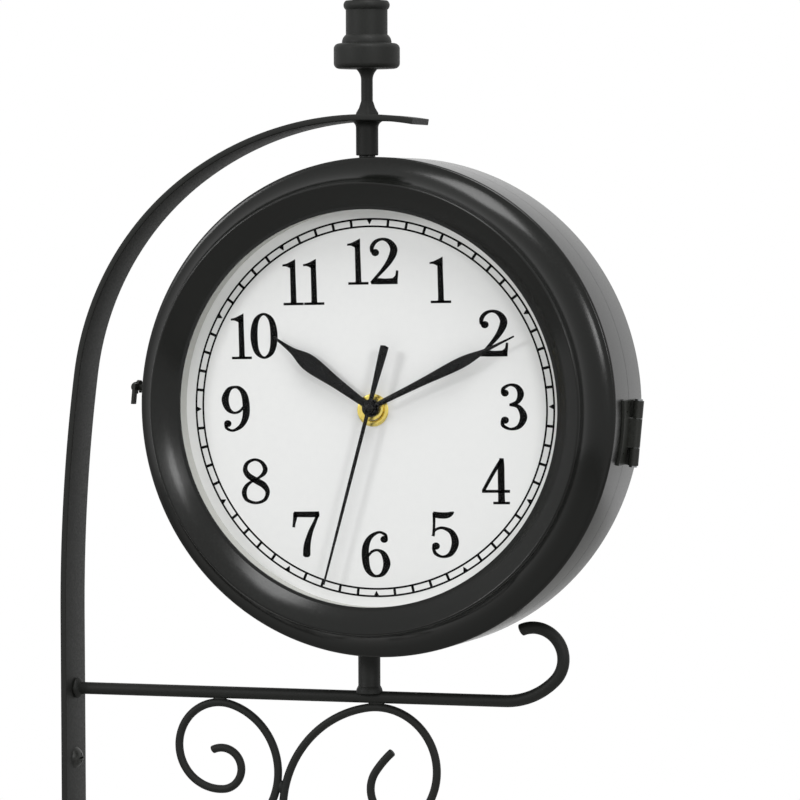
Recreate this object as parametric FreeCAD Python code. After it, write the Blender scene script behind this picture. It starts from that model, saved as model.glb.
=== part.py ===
"""Double sided station clock on a scrolled wall bracket.

Millimetres, +Z up. X = 0 is the wall and +X points away from it; the dials face -Y and +Y.
The origin lies on the wall, midway between the two free screw holes of the wall bar.
Depths in the clock head are counted from its seam plane outwards, to either side.
"""
import FreeCAD, Part
import math
import os

Vector = FreeCAD.Vector
ORIGIN = Vector(0, 0, 0)
X_AXIS = Vector(1, 0, 0)
Y_AXIS = Vector(0, 1, 0)
Z_AXIS = Vector(0, 0, 1)

# Place of the head and of the axis it swivels on
head_height = 291.5
pivot_reach = 157.0
head_offset = 11.0
running_fit = 0.05

# Wall bar: flat stock, straight on the wall, then arched over the clock
bar_width = 25.0
bar_thickness = 3.0
bar_end_margin = 15.5
hole_spacing = 110.0
top_hole_drop = 34.8
hole_radius = 2.75
arch_rise = 20.8
easing_radius = 900.0
easing_angle = 7.7
shoulder_radius = 142.0
shoulder_angle = 47.0
crown_radius = 158.0
crown_angle = 44.9

# Wall screw in the bar's top hole
screw_shank_radius = 2.4
screw_head_radius = 5.3
screw_head_height = 3.2
screw_recess_length = 5.0
screw_recess_width = 1.0
screw_recess_depth = 1.6

# Support rod with its curled free end
rod_radius = 3.0
rod_gap = 21.7
rod_overhang = 68.9
rod_bend_radius = 35.3
rod_bend_angle = 45.1
rod_curl_radius = 14.9
rod_curl_angle = 160.3

# Scroll wire; angles are the turns of its bends
wire_radius = 2.0
weld_gap = 0.1
small_weld_reach = 79.3
small_crown_radius = 21.4
small_crown_back = 184.8
small_crown_front = 17.3
small_eye_radius = 10.2
small_eye_angle = 204.3
small_side_radius = 34.1
small_side_angle = 152.2
foot_radius = 22.0
foot_angle = 110.0
foot_eye_radius = 11.0
foot_eye_angle = 170.0
large_weld_reach = 160.7
large_crown_radius = 30.6
large_crown_back = 128.0
large_crown_front = 9.5
large_eye_radius = 15.3
large_eye_angle = 176.0
large_tip_radius = 53.0
large_tip_angle = 14.3
large_leg_radius = 52.2
large_leg_angle = 76.0

# Sockets and pins of the swivel
socket_radius = 5.4
socket_bore_depth = 12.0
sleeve_gap = 1.6
sleeve_flare = 3.4
pin_radius = 4.0
pin_engagement = 11.0
pin_flange_radius = 6.5
pin_flange_thickness = 3.2
notch_clearance = 0.3
collar_stand = 0.55
thrust_washer_thickness = 1.2

# Finial and its stem
stem_radius = 2.85
stem_height = 22.2
stem_foot_radius = 4.8
stem_foot_height = 3.4
stem_head_radius = 5.5
stem_head_height = 5.0
collar_radius = 16.0
collar_height = 12.2
collar_round = 2.6
shoulder_foot_radius = 12.0
shoulder_height = 4.2
shaft_radius = 10.1
shaft_height = 12.0
ring_radius = 11.2
ring_height = 4.4
neck_radius = 7.0
neck_height = 4.6
neck_hollow = 0.5
bulb_radius = 12.0
tip_neck_radius = 1.8
tip_radius = 5.4
turned_sag = 0.6

# Case: two pressed half shells that meet at the seam
case_radius = 120.0
case_wall = 1.2
band_half_depth = 24.0
corner_radius = 1.5
crest_inset = 13.0
crest_depth = 43.0
crest_round = 0.9
cove_sag = 3.5
lip_inset = 25.0
lip_depth = 36.0
lip_flange = 1.5
roll_width = 3.0
roll_rise = 2.5
seam_gap = 0.3
case_turn = 5.5

# Hoop inside the seam
hoop_thickness = 2.6
hoop_front_reach = 6.0
hoop_back_reach = 12.0
hoop_clearance = 0.3

# Hinge
hinge_standoff = 4.0
hinge_height = 31.0
hinge_middle = 14.0
knuckle_radius = 2.5
knuckle_gap = 0.3
leaf_thickness = 1.2
leaf_width = 12.0
leaf_gap = 0.4
leaf_hole_radius = 0.8
leaf_hole_rise = 10.0
hinge_pin_radius = 1.25
hinge_pin_head_radius = 1.9
hinge_pin_head_height = 0.8
hinge_pin_press = 0.01

# Latch
latch_shift = -4.0
stud_reach = 8.0
stud_radius = 1.6
boss_radius = 2.9
pivot_boss_height = 6.6
catch_boss_height = 1.6
stud_neck_top = 8.3
stud_head_height = 1.2
ball_radius = 2.6
ball_rise = 0.5
hook_base = 6.75
hook_thickness = 1.4
hook_eye_radius = 3.4
hook_eye_play = 0.1
hook_pad_radius = 3.6
hook_arm_width = 4.0
hook_notch_radius = 1.9
hook_notch_easing = 0.4
hook_reach = 15.0
hook_tab_width = 3.6
hook_tab_drop = 8.0

# Glass, spacer, dial and the ring that carries the dial
glass_thickness = 1.5
glass_margin = 3.5
spacer_wall = 3.0
dial_inset = 8.0
dial_thickness = 0.8
dial_front = 24.0
dial_hole_radius = 4.3
dial_ring_thickness = 1.2
dial_ring_seat = 8.0
dial_ring_margin = 0.5
dial_ring_fall = 3.7
dial_ring_skirt = 5.0

# Quartz movement, its cell and its fixing
gasket_thickness = 0.8
gasket_radius = 10.0
movement_size = 56.0
movement_thickness = 15.0
movement_corner = 4.0
movement_skin = 1.2
movement_bore_radius = 2.6
movement_bore_depth = 3.0
cell_radius = 7.1
cell_length = 49.0
cell_drop = 18.0
cell_clearance = 0.3
nub_radius = 2.75
nub_length = 1.2
contact_thickness = 0.4
contact_size = 10.0
bush_radius = 4.0
bush_front = 27.0
dish_inner_radius = 5.1
dish_outer_radius = 7.85
dish_thickness = 0.8
nut_radius = 5.8
nut_thickness = 2.0
nut_fit = 0.02
knob_offset = 9.0
knob_rise = 10.0
knob_radius = 6.0
knob_height = 2.2
knob_gap = 0.3
knob_stem_radius = 1.5
knob_stem_depth = 3.0
knob_grips = 12
knob_grip_radius = 0.7

# Hands and the tubes that carry them, one inside the other
tube_depth = 2.8
hour_tube_radius = 2.5
minute_shaft_radius = 1.7
second_arbor_radius = 0.55
blade_thickness = 0.5
crease_fall = 0.25
blade_tip = 0.4
hour_hub_radius = 4.3
hour_hub_back = 27.4
hour_hub_height = 1.4
hour_length = 60.0
hour_half_width = 4.1
minute_hub_radius = 3.2
minute_hub_back = 29.2
minute_hub_height = 1.2
minute_length = 80.0
minute_half_width = 2.7
second_hub_radius = 2.4
second_hub_back = 30.8
second_hub_height = 1.0
second_cap_height = 0.7
second_thickness = 0.4
second_length = 88.0
second_tail = 28.0
second_half_width = 0.65
second_tail_half_width = 1.9
hour_angle = 304.5
minute_angle = 64.3
second_angle = 195.3

# Places that follow from the dimensions above
quarter_sag = 1 - math.sqrt(0.5)
head_centre = Vector(pivot_reach + head_offset, 0, head_height)
crest_radius = case_radius - crest_inset
lip_radius = case_radius - lip_inset
dial_radius = case_radius - dial_inset
rod_height = head_height - case_radius - rod_gap
arch_top = head_height + case_radius + arch_rise
band_at_pivot = math.sqrt(case_radius ** 2 - head_offset ** 2)
sleeve_end = head_height + band_at_pivot + sleeve_gap
collar_end = head_height - band_at_pivot - collar_stand
post_top = collar_end - thrust_washer_thickness
hoop_outer = case_radius - case_wall
hoop_inner = hoop_outer - hoop_thickness
hinge_reach = case_radius + hinge_standoff
glass_front = lip_depth - case_wall
glass_back = glass_front - glass_thickness
glass_radius = lip_radius + glass_margin
dial_back = dial_front - dial_thickness
movement_front = dial_back - gasket_thickness
movement_back = movement_front - movement_thickness
cell_depth = movement_front - movement_skin - cell_clearance - cell_radius
cell_room = cell_length + nub_length + 2 * contact_thickness
tube_start = movement_front - tube_depth


def direction(angle):
    """Unit vector in the XZ plane, its angle counted in degrees from +X towards +Z."""
    return Vector(math.cos(math.radians(angle)), 0, math.sin(math.radians(angle)))


def bend_path(start, heading, steps):
    """Edges of a smooth path in the XZ plane, with its end point and end heading.

    A step is (length, 0) for a straight or (radius, turn) for a bend, positive to the left.
    Bends are made of arcs of at most a quarter turn.
    """
    edges = []
    point = start
    for size, turn in steps:
        if turn == 0:
            end = point + direction(heading) * size
            edges.append(Part.makeLine(point, end))
            point = end
            continue
        side = math.copysign(90, turn)
        middle = point + direction(heading + side) * size
        count = math.ceil(abs(turn) / 90)
        for index in range(count):
            half_way = heading + turn * (index + 0.5) / count
            last = heading + turn * (index + 1) / count
            through = middle + direction(half_way - side) * size
            end = middle + direction(last - side) * size
            edges.append(Part.Arc(point, through, end).toShape())
            point = end
        heading += turn
    return edges, point, heading


def round_bar(edges, radius):
    """Round bar along a chain of tangent edges."""
    first = edges[0]
    start = first.valueAt(first.FirstParameter)
    along = first.tangentAt(first.FirstParameter)
    section = Part.Wire(Part.makeCircle(radius, start, along))
    return Part.Wire(edges).makePipeShell([section], True, False)


def scroll(weld, heading, back_steps, front_steps, radius):
    """Wire bent in one piece that runs both ways from its weld."""
    tip, tip_heading = bend_path(weld, heading + 180, back_steps)[1:]
    steps = [(size, -turn) for size, turn in reversed(back_steps)]
    wire = bend_path(tip, tip_heading + 180, steps + front_steps)[0]
    return round_bar(wire, radius)


def trace(place, start, *steps):
    """Edges from start on: a point ends a line, a pair of points is an arc's middle and end."""
    edges = []
    here = place(*start)
    for step in steps:
        if isinstance(step[0], tuple):
            end = place(*step[1])
            edges.append(Part.Arc(here, place(*step[0]), end).toShape())
        else:
            end = place(*step)
            edges.append(Part.makeLine(here, end))
        here = end
    return edges


def bulge(start, end, sag):
    """Arc step of an outline; its middle lies the sag to the left of its chord."""
    run = end[0] - start[0]
    rise = end[1] - start[1]
    chord = math.hypot(run, rise)
    middle = ((start[0] + end[0]) / 2 - sag * rise / chord,
              (start[1] + end[1]) / 2 + sag * run / chord)
    return middle, end


def upright(radius, height):
    """Point of an outline that is turned about the swivel axis."""
    return Vector(radius, 0, height)


def across(radius, depth):
    """Point of an outline that is turned about the dial's axis."""
    return Vector(radius, depth, 0)


def turned_piece(edges, axis):
    """Solid of revolution of a closed chain of edges."""
    return Part.Face(Part.Wire(edges)).revolve(ORIGIN, axis, 360)


def at_pivot(edges):
    """Solid turned about the swivel axis, in its place."""
    solid = turned_piece(edges, Z_AXIS)
    solid.translate(X_AXIS * pivot_reach)
    return solid


def pivot_cylinder(radius, low, high):
    """Upright cylinder about the swivel axis."""
    return Part.makeCylinder(radius, high - low, Vector(pivot_reach, 0, low), Z_AXIS)


def disc(radius, back, front):
    """Disc about the dial's axis between two depths."""
    return Part.makeCylinder(radius, front - back, across(0, back), Y_AXIS)


def ring(outer, inner, back, front):
    """Flat ring about the dial's axis between two depths."""
    return disc(outer, back, front).cut(disc(inner, back, front))


def block(low, high):
    """Box between two corners."""
    return Part.makeBox(high.x - low.x, high.y - low.y, high.z - low.z, low)


def on_side(shape, rear):
    """Takes a piece drawn about the origin, facing +Y, to its side of the head."""
    piece = shape.copy()
    if not rear:
        piece.rotate(ORIGIN, Z_AXIS, 180)
    piece.translate(head_centre)
    return piece


def on_rim(shape):
    """Turns a hinge or latch piece with the case and takes it to the head."""
    piece = shape.copy()
    piece.rotate(ORIGIN, Y_AXIS, case_turn)
    piece.translate(head_centre)
    return piece


# Bracket

def bends_rise():
    """Height from the end of the bar's straight part to the top of its crown."""
    shoulder_start = direction(easing_angle)
    crown_start = direction(easing_angle + shoulder_angle)
    return (easing_radius * shoulder_start.z
            + shoulder_radius * (crown_start.z - shoulder_start.z)
            + crown_radius * (1 - crown_start.z))


def bar_path(start, inset):
    """Side line of the wall bar, at a distance inside its outer face."""
    straight = arch_top - bends_rise() - start.z
    steps = [(straight, 0), (easing_radius - inset, -easing_angle),
             (shoulder_radius - inset, -shoulder_angle), (crown_radius - inset, -crown_angle)]
    return bend_path(start, 90, steps)


def hole_heights():
    """The two free holes and the hole below the rod that the screw fills."""
    return [-hole_spacing / 2, hole_spacing / 2, rod_height - top_hole_drop]


def wall_bar():
    """Flat bar with a round lower end, bent over its thickness into the arch."""
    end_height = bar_width / 2 - hole_spacing / 2 - bar_end_margin
    outer_start = Vector(0, -bar_width / 2, end_height)
    inner_start = outer_start + X_AXIS * bar_thickness
    outer, outer_end, heading = bar_path(outer_start, 0)
    inner, inner_end, heading = bar_path(inner_start, bar_thickness)
    ends = [Part.makeLine(outer_start, inner_start), Part.makeLine(outer_end, inner_end)]
    outline = Part.Wire(Part.__sortEdges__(outer + inner + ends))
    bar = Part.Face(outline).extrude(Y_AXIS * bar_width)
    round_end = Part.makeCylinder(bar_width / 2, bar_thickness, Vector(0, 0, end_height), X_AXIS)
    bar = bar.fuse(round_end).removeSplitter()
    for height in hole_heights():
        hole = Part.makeCylinder(hole_radius, bar_thickness, Vector(0, 0, height), X_AXIS)
        bar = bar.cut(hole)
    return bar


def arch_heights(bar):
    """Heights of the arch's lower and upper face on the swivel axis."""
    low = Vector(pivot_reach, 0, head_height)
    crossing = Part.makeLine(low, low + Z_AXIS * 2 * case_radius).common(bar).BoundBox
    return crossing.ZMin, crossing.ZMax


def wall_screw():
    """Dome head screw with a cross recess, its shank reaching to the wall."""
    height = hole_heights()[-1]
    face = Vector(bar_thickness, 0, height)
    dome_radius = (screw_head_radius ** 2 + screw_head_height ** 2) / (2 * screw_head_height)
    top = face + X_AXIS * screw_head_height
    head = Part.makeSphere(dome_radius, top - X_AXIS * dome_radius)
    head = head.common(Part.makeCylinder(screw_head_radius, screw_head_height, face, X_AXIS))
    half_long = screw_recess_length / 2
    half_wide = screw_recess_width / 2
    for reach, rise in ((half_long, half_wide), (half_wide, half_long)):
        low = top + Vector(-screw_recess_depth, -reach, -rise)
        head = head.cut(block(low, top + Vector(0, reach, rise)))
    shank = Part.makeCylinder(screw_shank_radius, bar_thickness, Vector(0, 0, height), X_AXIS)
    return head.fuse(shank).removeSplitter()


def support_rod():
    """Round rod from the bar's face, level, then bent up into a curl."""
    straight = pivot_reach + rod_overhang - bar_thickness
    start = Vector(bar_thickness, 0, rod_height)
    steps = [(straight, 0), (rod_bend_radius, rod_bend_angle), (rod_curl_radius, rod_curl_angle)]
    return round_bar(bend_path(start, 0, steps)[0], rod_radius)


def small_scroll(radius):
    """S scroll: an eye under the rod, a round side, a sweep down to the bar, a curled foot."""
    weld = Vector(small_weld_reach, 0, rod_height - rod_radius - wire_radius)
    back = [(small_crown_radius, small_crown_back), (small_eye_radius, small_eye_angle)]
    front = [(small_crown_radius, -small_crown_front), (small_side_radius, -small_side_angle)]
    edges, side_end, heading = bend_path(weld, 0, front)
    reach = side_end.x - bar_thickness - wire_radius
    sweep_radius = reach / (1 + math.sin(math.radians(heading)))
    front.append((sweep_radius, -90 - heading))
    front.append((foot_radius, foot_angle))
    front.append((foot_eye_radius, foot_eye_angle))
    return scroll(weld, 0, back, front, radius)


def large_scroll():
    """Scroll below the post; its leg ends where it is welded to the small scroll."""
    weld = Vector(large_weld_reach, 0, rod_height - rod_radius - wire_radius)
    back = [(large_crown_radius, -large_crown_back), (large_eye_radius, -large_eye_angle),
            (large_tip_radius, -large_tip_angle)]
    front = [(large_crown_radius, large_crown_front), (large_leg_radius, large_leg_angle)]
    wire = scroll(weld, 180, back, front, wire_radius)
    wire = wire.cut(small_scroll(wire_radius + weld_gap))
    return max(wire.Solids, key=lambda solid: solid.Volume)


def upper_sleeve(bar):
    """Socket under the arch, flared where it meets the bar and bored from below."""
    under_arch = arch_heights(bar)[0]
    top = under_arch + bar_thickness / 2
    rim = socket_radius + sleeve_flare
    flare_low = (socket_radius, under_arch - sleeve_flare)
    flare = bulge(flare_low, (rim, under_arch), quarter_sag * sleeve_flare)
    sleeve = at_pivot(trace(upright, (0, sleeve_end), (socket_radius, sleeve_end), flare_low,
                            flare, (rim, top), (0, top), (0, sleeve_end)))
    bore = pivot_cylinder(pin_radius + running_fit, sleeve_end, sleeve_end + socket_bore_depth)
    return sleeve.cut(bar).cut(bore)


def lower_post(rod):
    """Socket astride the rod, bored from above."""
    post = pivot_cylinder(socket_radius, rod_height + rod_radius / 3, post_top)
    bore = pivot_cylinder(pin_radius + running_fit, post_top - socket_bore_depth, post_top)
    return post.cut(bore).cut(rod)


def finial_stem(bar):
    """Thin stem from the arch to the finial, spread at both ends."""
    base = arch_heights(bar)[1]
    top = base + stem_height
    low = base - bar_thickness / 2
    foot = (stem_foot_radius, base)
    neck = (stem_radius, top - stem_head_height)
    edges = trace(upright, (0, low), (stem_foot_radius, low), foot,
                  bulge(foot, (stem_radius, base + stem_foot_height), turned_sag), neck,
                  bulge(neck, (stem_head_radius, top), turned_sag), (0, top), (0, low))
    return at_pivot(edges).cut(bar)


def finial(bar):
    """Turned ornament: collar, shoulder, shaft, ring, hollow neck, bulb and tip."""
    base = arch_heights(bar)[1] + stem_height
    collar_top = base + collar_height
    shaft_low = collar_top + shoulder_height
    ring_low = shaft_low + shaft_height
    neck_low = ring_low + ring_height
    bulb_low = neck_low + neck_height
    bulb_middle = bulb_low + math.sqrt(bulb_radius ** 2 - neck_radius ** 2)
    tip_low = bulb_middle + math.sqrt(bulb_radius ** 2 - tip_neck_radius ** 2)
    tip_middle = tip_low + math.sqrt(tip_radius ** 2 - tip_neck_radius ** 2)
    flat = collar_radius - collar_round
    sag = quarter_sag * collar_round
    lower_edge = bulge((flat, base), (collar_radius, base + collar_round), -sag)
    upper_start = (collar_radius, collar_top - collar_round)
    shoulder_foot = (shoulder_foot_radius, collar_top)
    neck_foot = (neck_radius, neck_low)
    edges = trace(
        upright, (0, base), (flat, base), lower_edge, upper_start,
        bulge(upper_start, (flat, collar_top), -sag), shoulder_foot,
        bulge(shoulder_foot, (shaft_radius, shaft_low), -turned_sag), (shaft_radius, ring_low),
        ((ring_radius, ring_low + ring_height / 2), (shaft_radius, neck_low)), neck_foot,
        bulge(neck_foot, (neck_radius, bulb_low), neck_hollow),
        ((bulb_radius, bulb_middle), (tip_neck_radius, tip_low)),
        ((tip_radius, tip_middle), (0, tip_middle + tip_radius)), (0, base))
    return at_pivot(edges)


# Case, hoop and swivel pins

def case_shell(rear):
    """Pressed half: band, hollow cove, crest, sloping inner face, rolled step and flat rim."""
    band_end = (case_radius, band_half_depth - corner_radius)
    cove_start = (case_radius - corner_radius, band_half_depth)
    cove_end = (crest_radius + crest_round, crest_depth - crest_round)
    crest_in = (crest_radius - crest_round / 2, crest_depth - crest_round / 5)
    rim = lip_radius + lip_flange
    outside = trace(
        across, (case_radius, seam_gap / 2), band_end,
        bulge(band_end, cove_start, -quarter_sag * corner_radius),
        bulge(cove_start, cove_end, cove_sag), ((crest_radius, crest_depth), crest_in),
        (rim + roll_width, lip_depth + roll_rise), (rim, lip_depth), (lip_radius, lip_depth))
    wall = Part.Wire(outside).makeOffset2D(-case_wall, 0, True, True)
    shell = on_side(wall.revolve(ORIGIN, Y_AXIS, 360), rear)
    upper_notch = pivot_cylinder(pin_radius + notch_clearance, head_height,
                                 head_height + 2 * case_radius)
    lower_notch = pivot_cylinder(socket_radius + notch_clearance,
                                 head_height - 2 * case_radius, head_height)
    return shell.cut(upper_notch).cut(lower_notch)


def hoop_blank():
    """Hoop fixed in the rear half; its front edge stands clear of the front half."""
    step = hoop_outer - hoop_clearance
    edges = trace(across, (hoop_inner, -hoop_front_reach), (step, -hoop_front_reach),
                  (step, seam_gap), (hoop_outer, seam_gap), (hoop_outer, hoop_back_reach),
                  (hoop_inner, hoop_back_reach), (hoop_inner, -hoop_front_reach))
    hoop = turned_piece(edges, Y_AXIS)
    hoop.translate(head_centre)
    return hoop


def seam_hoop(blank):
    """The hoop with the holes for both pins."""
    return blank.cut(pivot_cylinder(pin_radius, head_height - case_radius,
                                    head_height + case_radius))


def upper_pin(blank):
    """Pin from a flange inside the hoop up into the sleeve."""
    inside = head_height + hoop_inner - pin_flange_thickness
    flange = pivot_cylinder(pin_flange_radius, inside, inside + pin_radius).cut(blank)
    shank = pivot_cylinder(pin_radius, inside, sleeve_end + pin_engagement)
    return shank.fuse(flange).removeSplitter()


def lower_pin(blank):
    """Pin from a flange inside the hoop down into the post, with a collar on the washer."""
    inside = head_height - hoop_inner + pin_flange_thickness
    flange = pivot_cylinder(pin_flange_radius, inside - pin_radius, inside).cut(blank)
    collar = pivot_cylinder(socket_radius, collar_end, inside - pin_radius).cut(blank)
    shank = pivot_cylinder(pin_radius, post_top - pin_engagement, inside)
    return shank.fuse(flange).fuse(collar).removeSplitter()


def thrust_washer():
    """Washer between the lower pin's collar and the post."""
    washer = pivot_cylinder(socket_radius, post_top, collar_end)
    return washer.cut(pivot_cylinder(pin_radius + running_fit, post_top, collar_end))


# Hinge and latch, drawn level and turned with the case

def hinge_leaf(rear):
    """Leaf curved to the band. The front leaf has the middle knuckle, the rear the outer two."""
    half = hinge_height / 2
    middle = hinge_middle / 2
    leaf = disc(case_radius + leaf_thickness, leaf_gap, leaf_width)
    leaf = leaf.cut(disc(case_radius, leaf_gap, leaf_width))
    leaf = leaf.common(block(Vector(0, 0, -half), Vector(2 * case_radius, leaf_width, half)))
    spans = [(-middle + knuckle_gap / 2, middle - knuckle_gap / 2)]
    bore = hinge_pin_radius + running_fit
    if rear:
        spans = [(-half, -middle - knuckle_gap / 2), (middle + knuckle_gap / 2, half)]
        bore = hinge_pin_radius + hinge_pin_press
    for low, high in spans:
        web = block(Vector(case_radius - leaf_thickness, leaf_gap, low),
                    Vector(hinge_reach, knuckle_radius, high))
        knuckle = Part.makeCylinder(knuckle_radius, high - low, Vector(hinge_reach, 0, low),
                                    Z_AXIS)
        leaf = leaf.fuse(web.cut(disc(case_radius, 0, leaf_width))).fuse(knuckle)
    leaf = leaf.cut(Part.makeCylinder(bore, hinge_height, Vector(hinge_reach, 0, -half), Z_AXIS))
    for height in (-leaf_hole_rise, leaf_hole_rise):
        middle_width = (leaf_gap + leaf_width + knuckle_radius) / 2
        place = Vector(case_radius - leaf_thickness, middle_width, height)
        leaf = leaf.cut(Part.makeCylinder(leaf_hole_radius, 2 * hinge_standoff, place, X_AXIS))
    if not rear:
        leaf = leaf.mirror(ORIGIN, Y_AXIS)
    return on_rim(leaf.removeSplitter())


def hinge_pin():
    """Hinge pin with a flat head at each end."""
    half = hinge_height / 2
    low = Vector(hinge_reach, 0, -half)
    pin = Part.makeCylinder(hinge_pin_radius, hinge_height, low, Z_AXIS)
    for base in (low - Z_AXIS * hinge_pin_head_height, low + Z_AXIS * hinge_height):
        pin = pin.fuse(Part.makeCylinder(hinge_pin_head_radius, hinge_pin_head_height, base,
                                         Z_AXIS))
    return on_rim(pin.removeSplitter())


def rim_point(side, reach):
    """Point over the latch side of the band, at a distance off it."""
    return Vector(-case_radius - reach, side, latch_shift)


def off_band(radius, reach):
    """Point of an outline that is turned about a stud."""
    return Vector(-case_radius - reach, radius, 0)


def latch_stud(rear):
    """Stud riveted in the band: a flat head holds the hook, a ball takes its notch."""
    head = ((boss_radius, stud_neck_top), (boss_radius, stud_neck_top + stud_head_height),
            (0, stud_neck_top + stud_head_height))
    if not rear:
        middle = stud_neck_top + ball_rise
        start = (math.sqrt(ball_radius ** 2 - ball_rise ** 2), stud_neck_top)
        slant = ball_radius * math.sqrt(0.5)
        head = (start, ((slant, middle + slant), (0, middle + ball_radius)))
    edges = trace(off_band, (0, -case_wall), (stud_radius, -case_wall),
                  (stud_radius, stud_neck_top), *head, (0, -case_wall))
    boss_height = pivot_boss_height if rear else catch_boss_height
    boss = trace(off_band, (0, -case_wall), (boss_radius, -case_wall),
                 (boss_radius, boss_height), (0, boss_height), (0, -case_wall))
    side = Vector(0, stud_reach if rear else -stud_reach, latch_shift)
    pieces = []
    for outline in (edges, boss):
        piece = turned_piece(outline, X_AXIS)
        piece.translate(side)
        pieces.append(piece)
    foot = pieces[1].cut(disc(case_radius, -band_half_depth, band_half_depth))
    return on_rim(pieces[0].fuse(foot).removeSplitter())


def hook_plate(side, low, high, width):
    """Flat rectangle of the hook's strip between two heights."""
    start = rim_point(side, hook_base + hook_thickness)
    return block(Vector(start.x, side, low),
                 Vector(start.x + hook_thickness, side + width, high))


def hook_round(side, radius):
    """Flat round of the hook's strip."""
    return Part.makeCylinder(radius, hook_thickness, rim_point(side, hook_base), X_AXIS * -1)


def latch_hook():
    """Flat hook that swings up on the rear stud; its notch drops over the front stud."""
    half = hook_arm_width / 2
    arm = hook_plate(-hook_reach, latch_shift - half, latch_shift + half,
                     hook_reach + stud_reach)
    tab = hook_plate(-hook_reach, latch_shift - hook_tab_drop, latch_shift + half,
                     hook_tab_width)
    hook = arm.fuse(tab)
    hook = hook.fuse(hook_round(stud_reach, hook_eye_radius))
    hook = hook.fuse(hook_round(-stud_reach, hook_pad_radius))
    hook = hook.cut(hook_round(stud_reach, stud_radius + hook_eye_play))
    hook = hook.cut(hook_round(-stud_reach, hook_notch_radius))
    mouth = hook_plate(-stud_reach - hook_notch_radius, latch_shift - 2 * hook_pad_radius,
                       latch_shift, 2 * hook_notch_radius + hook_notch_easing)
    return on_rim(hook.cut(mouth).removeSplitter())


# Glass, dial and movement, drawn facing +Y

def glass():
    return disc(glass_radius, glass_back, glass_front)


def spacer_ring():
    return ring(glass_radius, glass_radius - spacer_wall, dial_front, glass_back)


def dial():
    return ring(dial_radius, dial_hole_radius, dial_back, dial_front)


def dial_ring():
    """Pressed ring in the band that carries the dial."""
    edge_depth = dial_back - dial_ring_fall
    skirt = edge_depth - dial_ring_skirt
    bore = dial_radius - dial_ring_seat
    edges = trace(across, (bore, dial_back), (dial_radius + dial_ring_margin, dial_back),
                  (hoop_outer, edge_depth), (hoop_outer, skirt),
                  (hoop_outer - dial_ring_thickness, skirt),
                  (hoop_outer - dial_ring_thickness, edge_depth - dial_ring_thickness / 2),
                  (dial_radius, dial_back - dial_ring_thickness),
                  (bore, dial_back - dial_ring_thickness), (bore, dial_back))
    return turned_piece(edges, Y_AXIS)


def gasket():
    return ring(gasket_radius, bush_radius + running_fit, movement_front, dial_back)


def movement():
    """Moulded housing with a trough for the cell and bores for the tubes and the knob."""
    half = movement_size / 2
    body = block(Vector(-half, movement_back, -half), Vector(half, movement_front, half))
    corners = [edge for edge in body.Edges
               if abs(edge.tangentAt(edge.FirstParameter).y) > 0.99]
    body = body.makeFillet(movement_corner, corners)
    room = cell_radius + cell_clearance
    start = Vector(-cell_room / 2, cell_depth, -cell_drop)
    trough = Part.makeCylinder(room, cell_room, start, X_AXIS)
    mouth = block(Vector(start.x, movement_back, start.z - room),
                  Vector(-start.x, cell_depth, start.z + room))
    body = body.cut(trough.fuse(mouth))
    body = body.cut(disc(movement_bore_radius, movement_front - movement_bore_depth,
                         movement_front))
    knob_bore = Part.makeCylinder(knob_stem_radius + running_fit, knob_stem_depth,
                                  Vector(knob_offset, movement_back, knob_rise), Y_AXIS)
    return body.cut(knob_bore)


def battery():
    """Cell with its nub, lying across the housing."""
    start = Vector(contact_thickness - cell_room / 2, cell_depth, -cell_drop)
    cell = Part.makeCylinder(cell_radius, cell_length, start, X_AXIS)
    nub = Part.makeCylinder(nub_radius, nub_length, start + X_AXIS * cell_length, X_AXIS)
    return cell.fuse(nub)


def battery_contacts():
    """Contact plates at the two ends of the cell."""
    half = contact_size / 2
    near = Vector(-cell_room / 2, cell_depth - half, -cell_drop - half)
    plate = Vector(contact_thickness, contact_size, contact_size)
    far = near + X_AXIS * (cell_room - contact_thickness)
    return Part.makeCompound([block(near, near + plate), block(far, far + plate)])


def bush():
    return ring(bush_radius, hour_tube_radius + running_fit, movement_front, bush_front)


def dish_washer():
    """Brass washer that hangs on the bush by its wide hole."""
    washer = ring(dish_outer_radius, dish_inner_radius, dial_front, dial_front + dish_thickness)
    washer.translate(Z_AXIS * (bush_radius - dish_inner_radius))
    return washer


def bush_nut():
    back = dial_front + dish_thickness
    return ring(nut_radius, bush_radius + nut_fit, back, back + nut_thickness)


def setting_knob():
    """Gripped wheel behind the housing that sets the hands."""
    face = movement_back - knob_gap
    wheel = Part.makeCylinder(knob_radius, knob_height,
                              Vector(knob_offset, face - knob_height, knob_rise), Y_AXIS)
    for index in range(knob_grips):
        grip = Vector(knob_offset, face - knob_height, knob_rise)
        grip = grip + direction(360 * index / knob_grips) * knob_radius
        wheel = wheel.cut(Part.makeCylinder(knob_grip_radius, knob_height, grip, Y_AXIS))
    stem_length = knob_gap + knob_stem_depth - running_fit
    stem = Part.makeCylinder(knob_stem_radius, stem_length,
                             Vector(knob_offset, face, knob_rise), Y_AXIS)
    return wheel.fuse(stem)


# Hands, drawn pointing up and turned clockwise to their reading

def blade(outline, back, thickness):
    """Flat blade from its half widths along its length, joined by smooth sides."""
    sides = []
    for sign in (-1, 1):
        side = Part.BSplineCurve()
        side.interpolate([Vector(sign * half, back, along) for along, half in outline])
        sides.append(side.toShape())
    closing = []
    for along, half in (outline[0], outline[-1]):
        closing.append(Part.makeLine(Vector(-half, back, along), Vector(half, back, along)))
    wire = Part.Wire(Part.__sortEdges__(sides + closing))
    return Part.Face(wire).extrude(Y_AXIS * thickness)


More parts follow.
